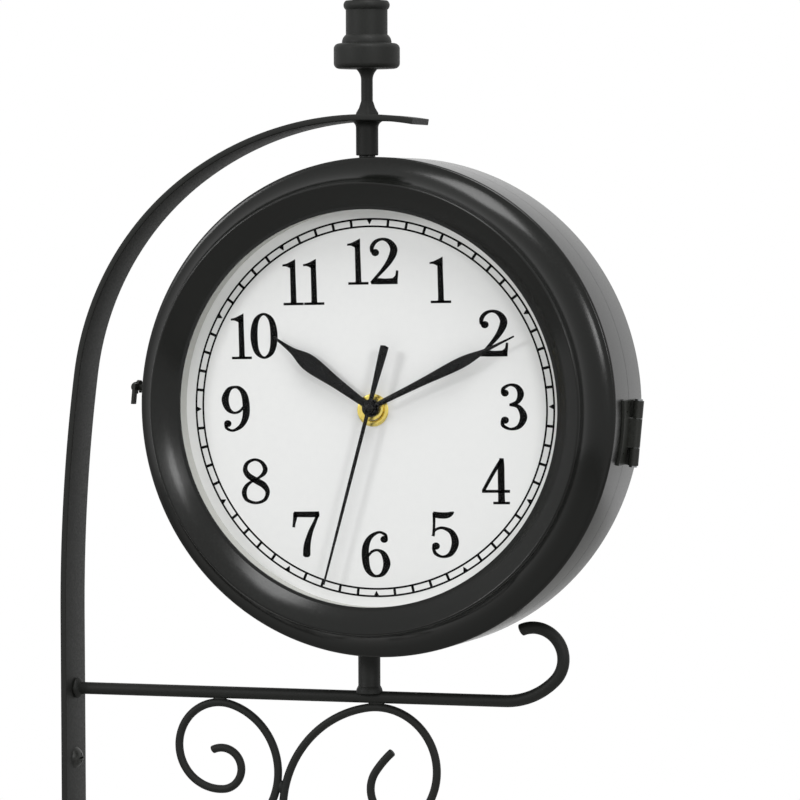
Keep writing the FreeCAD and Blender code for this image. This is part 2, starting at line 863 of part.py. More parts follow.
def creased_blade(hub_radius, length, half_width, back):
    """Leaf blade whose face falls both ways from a crease along its middle."""
    outline = [(0.7 * hub_radius, 0.42 * half_width), (0.34 * length, 0.65 * half_width),
               (0.63 * length, half_width), (0.81 * length, 0.35 * half_width),
               (length, blade_tip)]
    leaf = blade(outline, back, blade_thickness)
    front = back + blade_thickness
    edge = front - crease_fall
    roof = [Vector(-half_width, back, 0), Vector(half_width, back, 0),
            Vector(half_width, edge, 0), Vector(0, front, 0), Vector(-half_width, edge, 0)]
    prism = Part.Face(Part.makePolygon(roof + roof[:1])).extrude(Z_AXIS * (length + 1))
    return leaf.common(prism)


def pointer(solid, angle):
    """Turns a hand clockwise as its own dial's reader sees it."""
    solid = solid.removeSplitter()
    solid.rotate(ORIGIN, Y_AXIS, -angle)
    return solid


def hour_hand():
    front = hour_hub_back + hour_hub_height
    back = (hour_hub_back + front - blade_thickness) / 2
    leaf = creased_blade(hour_hub_radius, hour_length, hour_half_width, back)
    hand = leaf.fuse(disc(hour_hub_radius, hour_hub_back, front))
    return pointer(hand.cut(disc(hour_tube_radius, hour_hub_back, front)), hour_angle)


def minute_hand():
    front = minute_hub_back + minute_hub_height
    back = (minute_hub_back + front - blade_thickness) / 2
    leaf = creased_blade(minute_hub_radius, minute_length, minute_half_width, back)
    hand = leaf.fuse(disc(minute_hub_radius, minute_hub_back, front))
    return pointer(hand.cut(disc(minute_shaft_radius, minute_hub_back, front)), minute_angle)


def second_hand():
    """Needle, widening tail and the domed cap that closes the centre."""
    front = second_hub_back + second_hub_height
    middle = (second_hub_back + front - second_thickness) / 2
    needle = blade([(0, second_half_width), (second_length, blade_tip)], middle,
                   second_thickness)
    tail_end = second_tail - second_tail_half_width
    tail = blade([(0, second_half_width), (tail_end, second_tail_half_width)], middle,
                 second_thickness)
    tail.rotate(ORIGIN, Y_AXIS, 180)
    tail_round = Part.makeCylinder(second_tail_half_width, second_thickness,
                                   Vector(0, middle, -tail_end), Y_AXIS)
    dome_radius = (second_hub_radius ** 2 + second_cap_height ** 2) / (2 * second_cap_height)
    cap = Part.makeSphere(dome_radius, across(0, front + second_cap_height - dome_radius))
    cap = cap.common(disc(second_hub_radius, front, front + second_cap_height))
    hand = disc(second_hub_radius, second_hub_back, front)
    for piece in (needle, tail, tail_round, cap):
        hand = hand.fuse(piece)
    arbor_hole = disc(second_arbor_radius, second_hub_back, second_hub_back
                      + second_hub_height / 2)
    return pointer(hand.cut(arbor_hole), second_angle)


def hour_tube():
    front = hour_hub_back + hour_hub_height
    return ring(hour_tube_radius, minute_shaft_radius + running_fit, tube_start, front)


def minute_shaft():
    front = minute_hub_back + minute_hub_height
    return ring(minute_shaft_radius, second_arbor_radius + running_fit, tube_start, front)


def second_arbor():
    return disc(second_arbor_radius, tube_start, second_hub_back + second_hub_height / 2)


# All pieces by node name

bar_shape = wall_bar()
rod_shape = support_rod()
blank_shape = hoop_blank()
stud_shapes = {"front": latch_stud(False), "rear": latch_stud(True)}
pieces = {
    "wall_bar": bar_shape,
    "wall_screw": wall_screw(),
    "support_rod": rod_shape,
    "small_scroll": small_scroll(wire_radius),
    "large_scroll": large_scroll(),
    "upper_sleeve": upper_sleeve(bar_shape),
    "lower_post": lower_post(rod_shape),
    "finial_stem": finial_stem(bar_shape),
    "finial": finial(bar_shape),
    "seam_hoop": seam_hoop(blank_shape),
    "upper_pin": upper_pin(blank_shape),
    "lower_pin": lower_pin(blank_shape),
    "thrust_washer": thrust_washer(),
    "hinge_front_leaf": hinge_leaf(False),
    "hinge_rear_leaf": hinge_leaf(True),
    "hinge_pin": hinge_pin(),
    "latch_catch_stud": stud_shapes["front"],
    "latch_pivot_stud": stud_shapes["rear"],
    "latch_hook": latch_hook(),
}
side_makers = {
    "glass": glass,
    "spacer_ring": spacer_ring,
    "dial": dial,
    "dial_ring": dial_ring,
    "gasket": gasket,
    "movement": movement,
    "battery": battery,
    "battery_contacts": battery_contacts,
    "bush": bush,
    "washer": dish_washer,
    "nut": bush_nut,
    "setting_knob": setting_knob,
    "hour_hand": hour_hand,
    "hour_tube": hour_tube,
    "minute_hand": minute_hand,
    "minute_shaft": minute_shaft,
    "second_hand": second_hand,
    "second_arbor": second_arbor,
}
for side in ("front", "rear"):
    pieces[side + "_case"] = case_shell(side == "rear").cut(stud_shapes[side])
    for piece_name, maker in side_makers.items():
        pieces[side + "_" + piece_name] = on_side(maker(), side == "rear")

os.makedirs("parts", exist_ok=True)
for node, shape in pieces.items():
    if shape.Volume < 0:
        shape.reverse()
    shape.exportStep("parts/" + node + ".step")
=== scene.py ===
"""Looks of the double sided station clock on its scrolled wall bracket.

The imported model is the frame, in metres. Sizes below are in millimetres, as on a drawing: X is
the distance from the wall, the dials face -Y and +Y, and Z is up from between the two free holes.
"""
import math

import bmesh
import bpy
import numpy as np
from mathutils import Matrix, Vector


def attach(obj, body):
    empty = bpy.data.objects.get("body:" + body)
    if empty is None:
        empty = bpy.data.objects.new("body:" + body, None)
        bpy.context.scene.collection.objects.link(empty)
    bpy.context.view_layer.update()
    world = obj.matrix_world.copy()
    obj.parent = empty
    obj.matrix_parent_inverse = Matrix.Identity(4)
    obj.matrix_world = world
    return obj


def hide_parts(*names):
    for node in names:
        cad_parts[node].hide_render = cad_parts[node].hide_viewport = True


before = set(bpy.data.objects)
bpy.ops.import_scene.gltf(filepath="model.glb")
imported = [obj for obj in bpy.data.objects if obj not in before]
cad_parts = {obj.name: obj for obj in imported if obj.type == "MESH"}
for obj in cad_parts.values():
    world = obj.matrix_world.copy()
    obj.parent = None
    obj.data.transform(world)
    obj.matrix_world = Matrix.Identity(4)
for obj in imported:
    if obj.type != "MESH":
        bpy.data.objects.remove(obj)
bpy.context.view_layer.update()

# ---------------------------------------------------------------- wall bar
# Flat mild steel bar, 25 x 3 mm, round at its lower end and rolled over its thickness into the
# arch above the clock. Three holes are drilled through it, and bar, rod and scrolls are welded
# together and powder coated anthracite as one piece.


def linear(code):
    """Linear colour of an sRGB hex value.

    Each part c gives c / 12.92 below 0.04045, and else ((c + 0.055) / 1.055) to the power 2.4.
    """
    parts = np.array([int(code[at:at + 2], 16) for at in (1, 3, 5)]) / 255
    values = np.where(parts < 0.04045, parts / 12.92, ((parts + 0.055) / 1.055) ** 2.4)
    return (*values.tolist(), 1.0)


def add_node(tree, kind, inputs=None, **settings):
    """Adds a node with its settings; an input given as a socket is linked, any other is set."""
    made = tree.nodes.new(kind)
    for key, value in settings.items():
        setattr(made, key, value)
    for key, value in (inputs or {}).items():
        if isinstance(value, bpy.types.NodeSocket):
            tree.links.new(value, made.inputs[key])
        else:
            made.inputs[key].default_value = value
    return made


def new_material(name):
    """Empty material and its node tree."""
    material = bpy.data.materials.new(name)
    material.use_nodes = True
    material.node_tree.nodes.clear()
    return material, material.node_tree


def grained(name, dark, light, grain, rough, relief, shader=None):
    """Material of two tones mottled by a noise whose grain is a real size in mm.

    The same noise takes the roughness from 0.85 to 1.2 times its value and lifts the surface by
    the relief in mm, and a noise forty times as coarse shades the colour softly.
    """
    material, tree = new_material(name)
    place = add_node(tree, "ShaderNodeTexCoord").outputs["Object"]
    fine = add_node(tree, "ShaderNodeTexNoise", {"Vector": place, "Scale": 1000 / grain,
                                                 "Detail": 3.0, "Roughness": 0.6})
    broad = add_node(tree, "ShaderNodeTexNoise", {"Vector": place, "Scale": 25 / grain,
                                                  "Detail": 2.0})
    sharp = add_node(tree, "ShaderNodeMapRange", {"Value": fine.outputs["Fac"], "From Min": 0.35,
                                                  "From Max": 0.75})
    soft = add_node(tree, "ShaderNodeMath", {0: broad.outputs["Fac"], 1: 0.5},
                    operation="MULTIPLY")
    share = add_node(tree, "ShaderNodeMath", {0: sharp.outputs[0], 1: soft.outputs[0]},
                     operation="MULTIPLY", use_clamp=True)
    tint = add_node(tree, "ShaderNodeMix", {0: share.outputs[0], 6: linear(dark),
                                            7: linear(light)}, data_type="RGBA")
    gloss = add_node(tree, "ShaderNodeMapRange", {"Value": fine.outputs["Fac"], "From Min": 0.3,
                                                  "From Max": 0.7, "To Min": 0.85 * rough,
                                                  "To Max": min(1, 1.2 * rough)})
    lift = add_node(tree, "ShaderNodeBump", {"Height": fine.outputs["Fac"], "Strength": 0.6,
                                             "Distance": relief / 1000})
    skin = add_node(tree, "ShaderNodeBsdfPrincipled",
                    {"Base Color": tint.outputs[2], "Roughness": gloss.outputs[0],
                     "Normal": lift.outputs[0], **(shader or {})})
    add_node(tree, "ShaderNodeOutputMaterial", {"Surface": skin.outputs[0]})
    return material


def unit(angle):
    """Unit vectors in the XZ plane: (cos, sin) of angles in degrees from +X towards +Z."""
    turn = np.radians(angle)
    return np.stack([np.cos(turn), np.sin(turn)], axis=-1)


def bends(start, heading, steps, spacing=1.0):
    """Points and headings of a path of straights and bends in the XZ plane.

    A step is (length, 0), or (radius, turn in degrees), positive to the left. A bend's points lie
    on a circle whose middle is a quarter turn to that side, at equal turns of the heading.
    """
    points = [np.array([start], float)]
    headings = [np.array([heading], float)]
    for size, turn in steps:
        here, angle = points[-1][-1], headings[-1][-1]
        if turn == 0:
            count = max(2, int(size / (6 * spacing)))
            share = np.linspace(0, 1, count + 1)[1:, None]
            points.append(here + share * size * unit(angle))
            headings.append(np.full(count, angle))
        else:
            count = max(4, math.ceil(abs(math.radians(turn)) * size / spacing))
            turned_by = angle + turn * np.linspace(0, 1, count + 1)[1:]
            side = math.copysign(90, turn)
            points.append(here + size * unit(angle + side) + size * unit(turned_by - side))
            headings.append(turned_by)
    return np.concatenate(points), np.concatenate(headings)


def carried(points, headings, section):
    """Grid of a section carried along a path: its first number runs along Y, its second to the
    right of the path."""
    right = unit(headings - 90)[:, None, :]
    place = points[:, None, :] + section[..., 1:2] * right
    along_y = np.broadcast_to(section[..., 0], place.shape[:2])
    return np.stack([place[..., 0], along_y, place[..., 1]], axis=-1)


def make_piece(name, grids, angle=35):
    """Mesh of grids of points in mm, given as (rows, closed).

    Each row is a ring, and neighbouring rows join in quads. A closed grid's last row joins its
    first; the end rows of an open one close with a fan about their middle. Points at one place
    merge, which closes the poles.
    """
    points, faces, used = [], [], 0
    for rows, closed in grids:
        index = used + np.arange(rows.shape[0] * rows.shape[1]).reshape(rows.shape[:2])
        across = np.roll(index, -1, axis=1)
        rolled = (np.roll(index, -1, axis=0), np.roll(across, -1, axis=0))
        quads = np.stack([index, across, rolled[1], rolled[0]], axis=-1)
        quads = quads if closed else quads[:-1]
        points.append(rows.reshape(-1, 3))
        faces += quads.reshape(-1, 4).tolist()
        used += index.size
        if not closed:
            points.append(rows[[0, -1]].mean(axis=1))
            hubs = np.full((2, rows.shape[1]), used) + [[0], [1]]
            faces += np.stack([across[0], index[0], hubs[0]], axis=-1).tolist()
            faces += np.stack([index[-1], across[-1], hubs[1]], axis=-1).tolist()
            used += 2
    mesh = bpy.data.meshes.new(name)
    mesh.from_pydata((np.concatenate(points) / 1000).tolist(), [], faces)
    shell = bmesh.new()
    shell.from_mesh(mesh)
    bmesh.ops.remove_doubles(shell, verts=shell.verts, dist=1e-7)
    bmesh.ops.dissolve_degenerate(shell, edges=shell.edges, dist=1e-7)
    bmesh.ops.recalc_face_normals(shell, faces=shell.faces)
    shell.to_mesh(mesh)
    shell.free()
    mesh.shade_smooth()
    mesh.set_sharp_from_angle(angle=math.radians(angle))
    piece = bpy.data.objects.new(name, mesh)
    bpy.context.scene.collection.objects.link(piece)
    return piece


def pierce(piece, cutter, angle=35):
    """Takes one closed mesh out of another and deletes the cutter."""
    cut = piece.modifiers.new("cut", "BOOLEAN")
    cut.object = cutter
    cut.solver = "EXACT"
    seen = piece.evaluated_get(bpy.context.evaluated_depsgraph_get())
    mesh = bpy.data.meshes.new_from_object(seen)
    piece.modifiers.clear()
    piece.data = mesh
    mesh.set_sharp_from_angle(angle=math.radians(angle))
    bpy.data.objects.remove(cutter)


def turned(profile, middle, axis, count=96):
    """Grid of a profile (distance from the axis, height along it) turned about an axis."""
    angle = np.linspace(0, 2 * math.pi, count, endpoint=False)
    reach, height = profile[:, :1], profile[:, 1:]
    ring = {"first": reach * np.cos(angle), "second": reach * np.sin(angle),
            "along": height + 0 * angle}
    order = {"X": ("along", "first", "second"), "Y": ("first", "along", "second"),
             "Z": ("first", "second", "along")}[axis]
    return np.stack([ring[key] for key in order], axis=-1) + np.array(middle)


def fit(piece, material, body, slot, *stands_for):
    """Gives a new piece its finish, its body and the CAD nodes that it stands for."""
    piece.data.materials.clear()
    piece.data.materials.append(material)
    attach(piece, body)
    if stands_for:
        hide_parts(*stands_for)


# Powder coat on steel: near black, matt, with a fine orange peel that glitters a little
low_gloss = {"Specular IOR Level": 0.25}  # half the default: the photograph's coats are very black
bracket_coat = grained("powder_coat_anthracite", "#121311", "#2f312e", 0.9, 0.56, 0.02, low_gloss)

BAR_WIDTH = 25.0
BAR_THICK = 3.0
HOLE_RISE = 55.0  # of the free holes, above and below the origin
HOLE_RADIUS = 2.75
END_MARGIN = 15.5  # from the lower hole to the bar's end
SCREW_DROP = 34.8  # from the rod down to the screw
LOW_END = BAR_WIDTH / 2 - HOLE_RISE - END_MARGIN
ARCH_TOP = 432.3
ROD_HEIGHT = 149.8
BAR_BENDS = [(900.0, -7.7), (142.0, -47.0), (158.0, -44.9)]
corner = 0.5  # radius of the rolled bar's edges
quarter = np.linspace(0, 90, 4)
corners = [(BAR_WIDTH / 2 - corner, BAR_THICK - corner, 0), (corner - BAR_WIDTH / 2,
            BAR_THICK - corner, 90), (corner - BAR_WIDTH / 2, corner, 180),
           (BAR_WIDTH / 2 - corner, corner, 270)]
bar_section = np.concatenate([np.array([[y, x]]) + corner * unit(start + quarter)
                              for y, x, start in corners])
top_of_bends = bends((0, 0), 90, BAR_BENDS)[0][:, 1].max()
straight = ARCH_TOP - top_of_bends - LOW_END
bar_points, bar_headings = bends((0, LOW_END), 90, [(straight, 0)] + BAR_BENDS, 2.0)
swing = np.radians(np.linspace(3, 88, 18))
end_points = np.stack([0 * swing, LOW_END - BAR_WIDTH / 2 * np.cos(swing)], axis=-1)
end_share = np.concatenate([np.sin(swing), np.ones(len(bar_points))])
section_rows = bar_section[None] * np.stack([end_share, 0 * end_share + 1], axis=-1)[:, None]
bar_grid = carried(np.concatenate([end_points, bar_points]),
                   np.concatenate([0 * swing + 90, bar_headings]), section_rows)
wall_bar = make_piece("wall_bar_dressed", [(bar_grid, False)])
drill = np.array([[HOLE_RADIUS, -1], [HOLE_RADIUS, BAR_THICK + 1]])
for height in (-HOLE_RISE, HOLE_RISE, ROD_HEIGHT - SCREW_DROP):
    pierce(wall_bar, make_piece("drill", [(turned(drill, (0, 0, height), "X", 48), False)]))
fit(wall_bar, bracket_coat, "bracket", "bracket_paint", "wall_bar")

# ---------------------------------------------------------------- wall screw
# Dome head steel screw with a cross recess, painted over with the bracket after assembly; it
# fills the hole below the support rod. Its CAD solid has the right shape and gets the finish.


def eased():
    """Geometry group that joins a node's loose triangles and keeps edges over 30 degrees crisp."""
    group = bpy.data.node_groups.new("eased_edges", "GeometryNodeTree")
    group.interface.new_socket("Geometry", in_out="INPUT", socket_type="NodeSocketGeometry")
    group.interface.new_socket("Geometry", in_out="OUTPUT", socket_type="NodeSocketGeometry")
    entry = add_node(group, "NodeGroupInput")
    joined = add_node(group, "GeometryNodeMergeByDistance",
                      {"Geometry": entry.outputs[0], "Distance": 2e-6})
    smooth = add_node(group, "GeometryNodeSetShadeSmooth",
                      {"Geometry": joined.outputs[0], "Shade Smooth": True}, domain="FACE")
    angle = add_node(group, "GeometryNodeInputMeshEdgeAngle")
    sharp = add_node(group, "FunctionNodeCompare",
                     {"A": angle.outputs["Unsigned Angle"], "B": math.radians(30)},
                     data_type="FLOAT", operation="GREATER_THAN")
    crisp = add_node(group, "GeometryNodeSetShadeSmooth",
                     {"Geometry": smooth.outputs[0], "Selection": sharp.outputs[0],
                      "Shade Smooth": False}, domain="EDGE")
    add_node(group, "NodeGroupOutput", {0: crisp.outputs[0]})
    return group


eased_edges = eased()


def dress(material, *names):
    """Gives CAD nodes a finish, with round faces that shade smoothly."""
    for name in names:
        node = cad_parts[name]
        node.data.materials.clear()
        node.data.materials.append(material)
        easing = node.modifiers.new("eased", "NODES")
        easing.node_group = eased_edges


screw_coat = grained("painted_zinc_screw", "#1c1d1b", "#5d5f5c", 1.4, 0.34, 0.015,
                     low_gloss)
dress(screw_coat, "wall_screw")

# ---------------------------------------------------------------- support rod
# Round mild steel rod, 6 mm, welded to the bar's face under the clock and bent cold at its free
# end into an open curl. Its weld stands round it at the bar as a rough collar.


def wire_rows(points, headings, radius, easing=0.6, count=28):
    """Grid of a round wire along a path, its end edges rounded.

    The section is a circle; at each end the last rows shrink it along a quarter circle.
    """
    curl = np.radians(np.linspace(0, 90, 5))
    shrink = radius - easing * (1 - np.cos(curl))
    retreat = easing * (1 - np.sin(curl))
    first = points[:1] + retreat[::-1, None] * unit(headings[:1])
    last = points[-1:] - retreat[:, None] * unit(headings[-1:])
    all_points = np.concatenate([first, points[1:-1], last])
    all_headings = np.concatenate([0 * curl + headings[0], headings[1:-1],
                                   0 * curl + headings[-1]])
    radii = np.concatenate([shrink[::-1], np.full(len(points) - 2, radius), shrink])
    round_section = unit(np.linspace(0, 360, count, endpoint=False))
    return carried(all_points, all_headings, radii[:, None, None] * round_section[None])


def bead(middle, sizes, seed):
    """Weld bead: an ellipsoid whose radius ripples by a few percent round it."""
    rise = np.linspace(-math.pi / 2, math.pi / 2, 17)[:, None]
    round_it = np.linspace(0, 2 * math.pi, 24, endpoint=False)[None]
    ripple = 1 + 0.06 * np.sin(3 * round_it + seed) * np.cos(rise) ** 2 + 0.04 * np.sin(
        5 * rise + 2 * seed) * np.cos(rise)
    ball = np.stack([np.cos(rise) * np.cos(round_it), np.cos(rise) * np.sin(round_it),
                     np.sin(rise) + 0 * round_it], axis=-1)
    return ripple[..., None] * ball * np.array(sizes) + np.array(middle)


ROD_RADIUS = 3.0
PIVOT = 157.0
OVERHANG = 68.9  # of the rod's straight part past the swivel
rod_steps = [(PIVOT + OVERHANG - BAR_THICK, 0), (35.3, 45.1), (14.9, 160.3)]
rod_points, rod_headings = bends((BAR_THICK, ROD_HEIGHT), 0, rod_steps)
support_rod = make_piece("support_rod_dressed", [(wire_rows(rod_points, rod_headings,
                                                            ROD_RADIUS), False)])
fit(support_rod, bracket_coat, "bracket", "bracket_paint", "support_rod")
rod_weld = make_piece("rod_weld", [(bead((BAR_THICK + 1.0, 0, ROD_HEIGHT), (2.6, 4.9, 5.0), 1.0),
                                    False)])
fit(rod_weld, bracket_coat, "bracket", "bracket_paint")

# ---------------------------------------------------------------- scrolls
# Two scrolls of 4 mm wire, bent cold round formers and tack welded: a small S between rod and
# bar, and a large one under the post whose leg is tacked to the small one.
WIRE = 2.0  # radius
weld_height = ROD_HEIGHT - ROD_RADIUS - WIRE


def both_ways(weld, heading, back, front):
    """Path that runs both ways from its weld: the back half reversed, then the front half."""
    back_points, back_headings = bends(weld, heading + 180, back)
    front_points, front_headings = bends(weld, heading, front)
    return (np.concatenate([back_points[::-1], front_points[1:]]),
            np.concatenate([back_headings[::-1] - 180, front_headings[1:]]))


small_front = [(21.4, -17.3), (34.1, -152.2)]
SMALL_WELD = 79.3
LARGE_WELD = 160.7
side_points, side_headings = bends((SMALL_WELD, weld_height), 0, small_front)
sweep = (side_points[-1, 0] - BAR_THICK - WIRE) / (1 + math.sin(math.radians(side_headings[-1])))
small_front += [(sweep, -90 - side_headings[-1]), (22.0, 110.0), (11.0, 170.0)]
small_points, small_headings = both_ways((SMALL_WELD, weld_height), 0,
                                         [(21.4, 184.8), (10.2, 204.3)], small_front)
small_scroll = make_piece("small_scroll_dressed", [(wire_rows(small_points, small_headings,
                                                              WIRE), False)])
fit(small_scroll, bracket_coat, "bracket", "bracket_paint", "small_scroll")

large_points, large_headings = both_ways((LARGE_WELD, weld_height), 180,
                                         [(30.6, -128.0), (15.3, -176.0), (53.0, -14.3)],
                                         [(30.6, 9.5), (52.2, 76.0)])
large_scroll = make_piece("large_scroll_dressed", [(wire_rows(large_points, large_headings,
                                                              WIRE), False)])
fit(large_scroll, bracket_coat, "bracket", "bracket_paint", "large_scroll")

apart = np.linalg.norm(large_points[:, None] - small_points[None], axis=2)
near_large, near_small = np.unravel_index(apart.argmin(), apart.shape)
leg_touch = (large_points[near_large] + small_points[near_small]) / 2
bar_touch = small_points[np.argmin(small_points[:, 0])]
tacks = make_piece("scroll_tack_welds", [
    (bead((SMALL_WELD, 0, weld_height + WIRE), (3.6, 1.7, 1.1), 2.0), False),
    (bead((LARGE_WELD, 0, weld_height + WIRE), (4.2, 1.7, 1.1), 3.0), False),
    (bead((leg_touch[0], 0, leg_touch[1]), (2.0, 1.8, 3.2), 4.0), False),
    (bead((BAR_THICK + 0.2, 0, bar_touch[1]), (0.9, 1.7, 3.6), 5.0), False)])
fit(tacks, bracket_coat, "bracket", "bracket_paint")

# ---------------------------------------------------------------- swivel sockets
# Two turned steel sockets that the head swivels in: a sleeve under the arch and a post astride
# the rod. Both are bored for the pins and spread by their welds where they meet the bracket.


def arc(start, through, end, count=12):
    """Points on the circle through three points: the first, turned about its middle in equal
    steps until it reaches the last by way of the second."""
    a, b, c = (complex(*point) for point in (start, through, end))
    ratio = (c - a) / (b - a)
    middle = a + (b - a) * (ratio - abs(ratio) ** 2) / (2j * ratio.imag)
    turn = np.angle((b - middle) / (a - middle)) + np.angle((c - middle) / (b - middle))
    places = middle + (a - middle) * np.exp(1j * turn * np.linspace(0, 1, count))
    return np.stack([places.real, places.imag], axis=-1)


def outline(start, *steps):
    """Points of a profile: a step is a corner, or a pair of points an arc runs through and
    ends at."""
    points = [np.array([start], float)]
    for step in steps:
        if np.ndim(step) == 2:
            points.append(arc(points[-1][-1], *step)[1:])
        else:
            points.append(np.array([step], float))
    return np.concatenate(points)


def bulge(start, end, sag):
    """Arc step between two points; its middle lies the sag to the left of its chord."""
    run = np.subtract(end, start)
    side = np.array([-run[1], run[0]]) / np.hypot(*run)
    return tuple(np.add(start, end) / 2 + sag * side), end


HEAD_X = 168.0
HEAD_Z = 291.5
CASE_R = 120.0
band_at_pivot = math.sqrt(CASE_R ** 2 - (HEAD_X - PIVOT) ** 2)
sleeve_end = HEAD_Z + band_at_pivot + 1.6
collar_end = HEAD_Z - band_at_pivot - 0.55
post_top = collar_end - 1.26  # a hair below the thrust washer, which is 1.2 thick
BORE = 4.05
BORE_DEPTH = 12
SOCKET_R = 5.4
arch_over = np.interp(PIVOT, bar_points[-80:, 0], bar_points[-80:, 1])
under_arch = arch_over - BAR_THICK
flare_foot = (SOCKET_R, under_arch - 3.4)
sleeve_profile = outline((BORE, sleeve_end + BORE_DEPTH), (BORE, sleeve_end), (5.1, sleeve_end),
                         (SOCKET_R, sleeve_end + 0.3), flare_foot,
                         bulge(flare_foot, (8.8, under_arch), 1.0), (8.8, under_arch + 1),
                         (0, under_arch + 1), (0, sleeve_end + BORE_DEPTH))
sleeve = make_piece("upper_sleeve_dressed", [(turned(sleeve_profile, (PIVOT, 0, 0), "Z", 64),
                                              True)])
fit(sleeve, bracket_coat, "bracket", "bracket_paint", "upper_sleeve")
post_foot = (SOCKET_R, ROD_HEIGHT + 5.5)
post_profile = outline((0, post_top - BORE_DEPTH), (BORE, post_top - BORE_DEPTH), (BORE, post_top),
                       (5.1, post_top), (SOCKET_R, post_top - 0.3), post_foot,
                       bulge(post_foot, (6.6, ROD_HEIGHT + 2.0), 0.25), (0, ROD_HEIGHT + 1.0),
                       (0, post_top - BORE_DEPTH))
post = make_piece("lower_post_dressed", [(turned(post_profile, (PIVOT, 0, 0), "Z", 64), True)])
fit(post, bracket_coat, "bracket", "bracket_paint", "lower_post")

# ---------------------------------------------------------------- finial
# Turned ornament on a thin stem over the arch: collar, shoulder, shaft, ring, hollow neck, bulb
# and tip, turned from steel in one piece and coated with the bracket. A cone of weld holds the
# stem's foot.
stem_top = arch_over + 22.2
stem_foot = (4.8, arch_over)
stem_neck = (2.85, stem_top - 5.0)
stem_profile = outline((0, arch_over - 1.5), (4.8, arch_over - 1.5), stem_foot,
                       bulge(stem_foot, (2.85, arch_over + 3.4), 0.6), stem_neck,
                       bulge(stem_neck, (5.5, stem_top), 0.6), (0, stem_top))
weld_profile = outline((0, arch_over - 1.0), (5.4, arch_over - 1.0), (5.3, arch_over + 0.8),
                       (3.9, arch_over + 3.2), (2.9, arch_over + 6.4), (0, arch_over + 6.6))
weld_rows = turned(weld_profile, (0, 0, 0), "Z", 48)
around = np.linspace(0, 2 * math.pi, weld_rows.shape[1], endpoint=False)
weld_rows[..., :2] *= (1 + 0.05 * np.sin(5 * around + 1.0))[None, :, None]
stem_weld = make_piece("stem_weld", [(weld_rows + [PIVOT, 0, 0], False)], 60)
fit(stem_weld, bracket_coat, "bracket", "bracket_paint")
stem = make_piece("finial_stem_dressed", [(turned(stem_profile, (PIVOT, 0, 0), "Z", 64), False)])
fit(stem, bracket_coat, "bracket", "bracket_paint", "finial_stem")

collar_top = stem_top + 12.2
shaft_low = collar_top + 4.2
ring_low = shaft_low + 12.0
neck_low = ring_low + 4.4
bulb_low = neck_low + 4.6
bulb_middle = bulb_low + math.sqrt(12.0 ** 2 - 7.0 ** 2)
tip_low = bulb_middle + math.sqrt(12.0 ** 2 - 1.8 ** 2)
tip_middle = tip_low + math.sqrt(5.4 ** 2 - 1.8 ** 2)
round_sag = 0.2929 * 2.6
finial_profile = outline(
    (0, stem_top), (13.4, stem_top), bulge((13.4, stem_top), (16, stem_top + 2.6), -round_sag),
    (16, collar_top - 2.6), bulge((16, collar_top - 2.6), (13.4, collar_top), -round_sag),
    (12, collar_top), bulge((12, collar_top), (10.1, shaft_low), -0.6), (10.1, ring_low),
    ((11.2, ring_low + 2.2), (10.1, neck_low)), (7.0, neck_low),
    bulge((7.0, neck_low), (7.0, bulb_low), 0.5), ((12.0, bulb_middle), (1.8, tip_low)),
    ((5.4, tip_middle), (0, tip_middle + 5.4)))
finial = make_piece("finial_dressed", [(turned(finial_profile, (PIVOT, 0, 0), "Z"), False)], 25)
fit(finial, bracket_coat, "bracket", "bracket_paint", "finial")

# ---------------------------------------------------------------- case
# Two half shells pressed from 1.2 mm steel sheet: band, hollow cove, crest, sloping face and a
# rolled step to the flat rim round the glass. They meet at the seam, where each has a half round
# notch for the swivel pins, and are sprayed with the same anthracite, smoother than the bracket.
LIP_R = 95.0
LIP_DEPTH = 36.0
SHEET = 1.2
HEAD = (HEAD_X, 0, HEAD_Z)
case_paint = grained("case_lacquer_anthracite", "#0e0f0d", "#1d1f1c", 1.1, 0.2, 0.008, low_gloss)
cove_start, cove_end = (118.5, 24.0), (107.9, 42.1)
case_outside = outline((CASE_R, 0.15), (CASE_R, 22.5),
                       bulge((CASE_R, 22.5), cove_start, -0.44), bulge(cove_start, cove_end, 3.5),
                       ((107.0, 43.0), (106.55, 42.82)), (103.0, 41.12), (99.5, 38.5),
                       (96.5, LIP_DEPTH), (LIP_R, LIP_DEPTH))


def sheet_loop(outside, wall):
    """Closed profile of a sheet: the outside, then the same points moved inwards along the
    normal, which is the slope turned a quarter to the left."""
    slope = np.gradient(outside, axis=0)
    slope /= np.linalg.norm(slope, axis=1)[:, None]
    inside = outside + wall * np.stack([-slope[:, 1], slope[:, 0]], axis=-1)
    inside[0] = outside[0] + [-wall, 0]
    inside[-1] = outside[-1] + [0, -wall]
    return np.concatenate([outside, inside[::-1]])


sides = {"front": -1, "rear": 1}
side_body = {"front": "front_half", "rear": "head"}
# Radius, low and high end of the cuts for the upper pin and for the lower pin's collar
NOTCHES = ((4.3, 40, 160), (5.7, -160, -40))
case_loop = sheet_loop(case_outside, SHEET)
for side, facing in sides.items():
    case = make_piece(side + "_case_dressed",
                      [(turned(case_loop * [1, facing], HEAD, "Y", 288), True)], 28)
    for radius, low, high in NOTCHES:
        notch = np.array([[radius, HEAD_Z + low], [radius, HEAD_Z + high]])
        pierce(case, make_piece("notch", [(turned(notch, (PIVOT, 0, 0), "Z", 48), False)]), 28)
    fit(case, case_paint, side_body[side], "case_paint", side + "_case")

